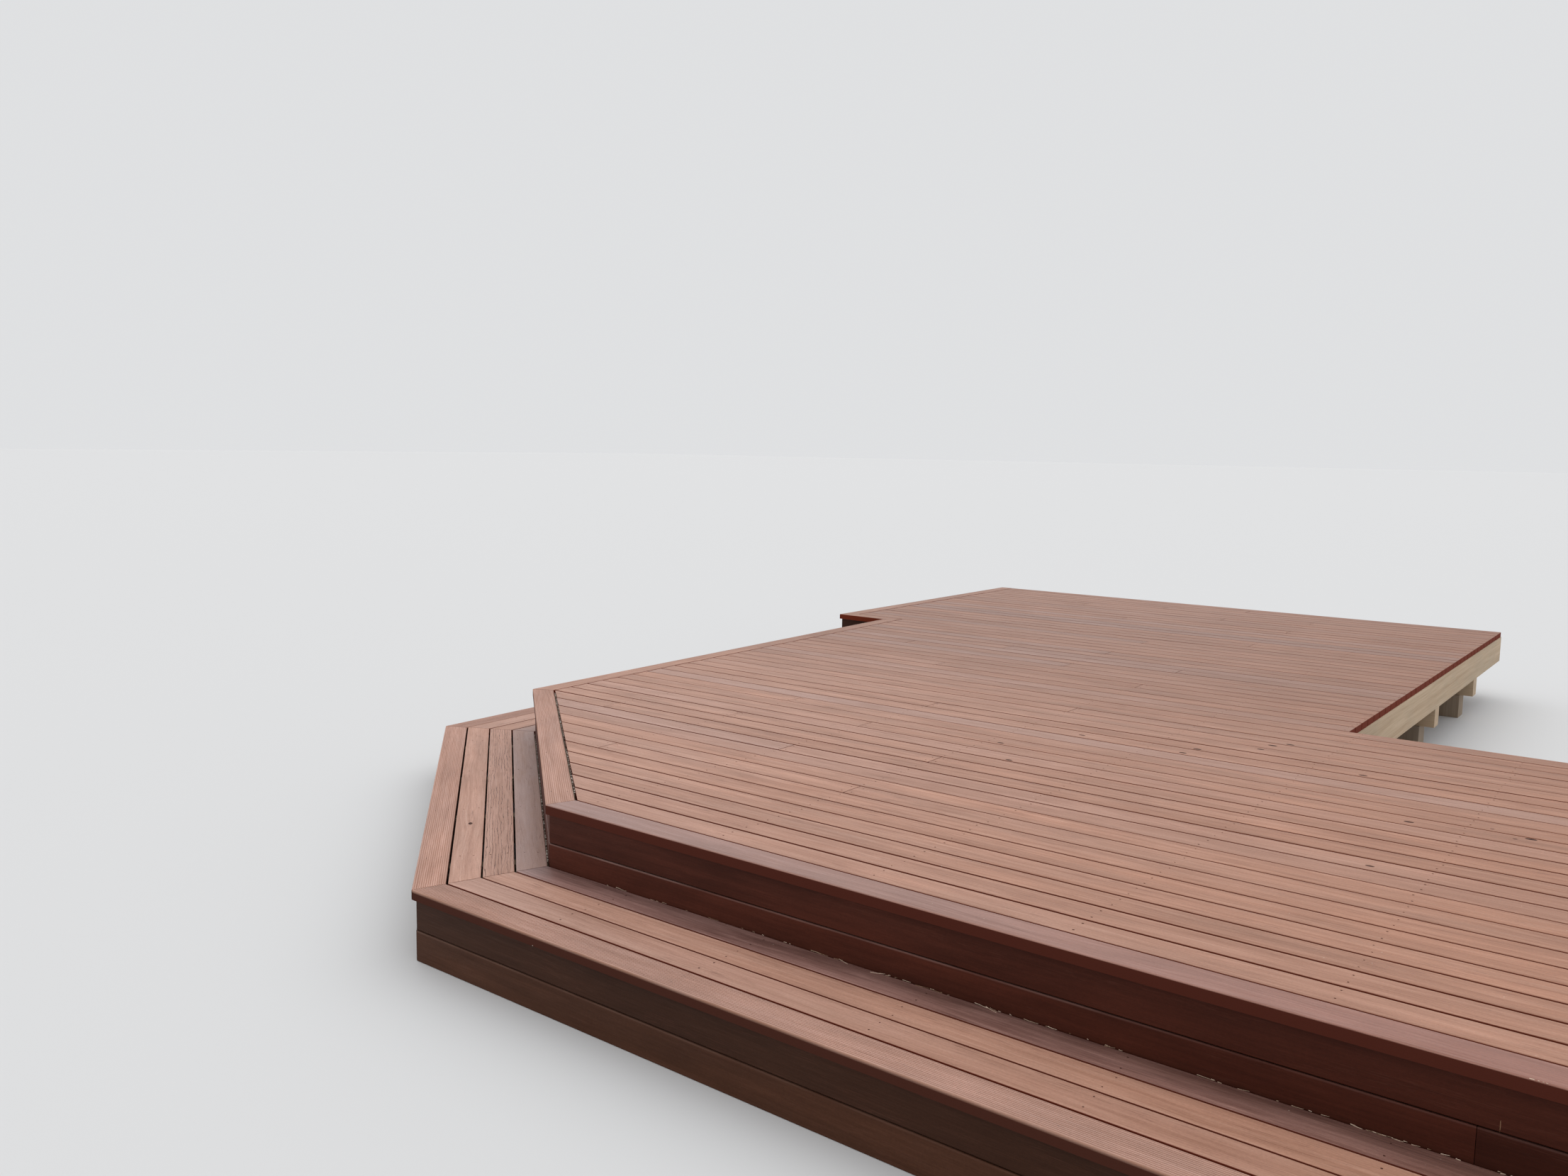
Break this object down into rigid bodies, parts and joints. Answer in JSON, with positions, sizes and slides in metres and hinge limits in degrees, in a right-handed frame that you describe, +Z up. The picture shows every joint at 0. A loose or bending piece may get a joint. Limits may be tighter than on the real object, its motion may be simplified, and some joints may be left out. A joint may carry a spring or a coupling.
{
  "type": "wooden deck stairs",
  "caption": "Low timber deck with two risers: a broad mitred step of reeded and smooth boards wraps the front, a slanted corner and the side.",
  "frame": {"origin": "middle of the plan's bounding box, on the ground", "axes": "+X along the front edge and the boards, towards the plain right end; +Y from the step towards the house; +Z up"},
  "size_m": [4.4426, 6.332, 0.38],
  "materials": {
    "deck_board": "worn red-brown stain, walked pale",
    "reeded_board": "worn red-brown stain over fine lengthwise grooves",
    "dark_riser": "dark brown stain, satin",
    "framing": "bare treated pine",
    "ground_timber": "bare treated pine, damp at the foot"
  },
  "bodies": {
    "root": {"deck_nosing_front": "deck_board", "deck_border_slant": "reeded_board", "deck_border_side": "deck_board", "deck_border_jog": "deck_board", "deck_border_garden": "deck_board", "deck_boards_front": "deck_board", "deck_boards_middle": "deck_board", "deck_boards_wing": "deck_board", "deck_boards_house": "deck_board", "riser_front": "dark_riser", "riser_slant": "dark_riser", "riser_side": "dark_riser", "skirt_jog": "dark_riser", "skirt_garden": "dark_riser", "skirt_end": "dark_riser", "step_nosing_front": "reeded_board", "step_nosing_slant": "reeded_board", "step_nosing_side": "reeded_board", "step_boards_front": "deck_board", "step_boards_slant": "deck_board", "step_boards_side": "deck_board", "step_skirt_front": "dark_riser", "step_skirt_slant": "dark_riser", "step_skirt_side": "dark_riser", "step_skirt_end": "dark_riser", "rim_front": "framing", "rim_slant": "framing", "rim_side": "framing", "rim_jog": "framing", "rim_garden": "framing", "joists_front": "framing", "joists_house": "framing", "house_ledger": "framing", "wing_ledger": "framing", "wing_side_ledger": "framing", "bearers_front": "framing", "bearers_house": "framing", "piles_front": "ground_timber", "piles_house": "ground_timber", "skirt_cleats": "framing", "step_rails_front": "framing", "step_rails_slant": "framing", "step_rails_side": "framing", "step_cross_pieces": "framing", "step_feet": "ground_timber"}
  },
  "joints": []
}
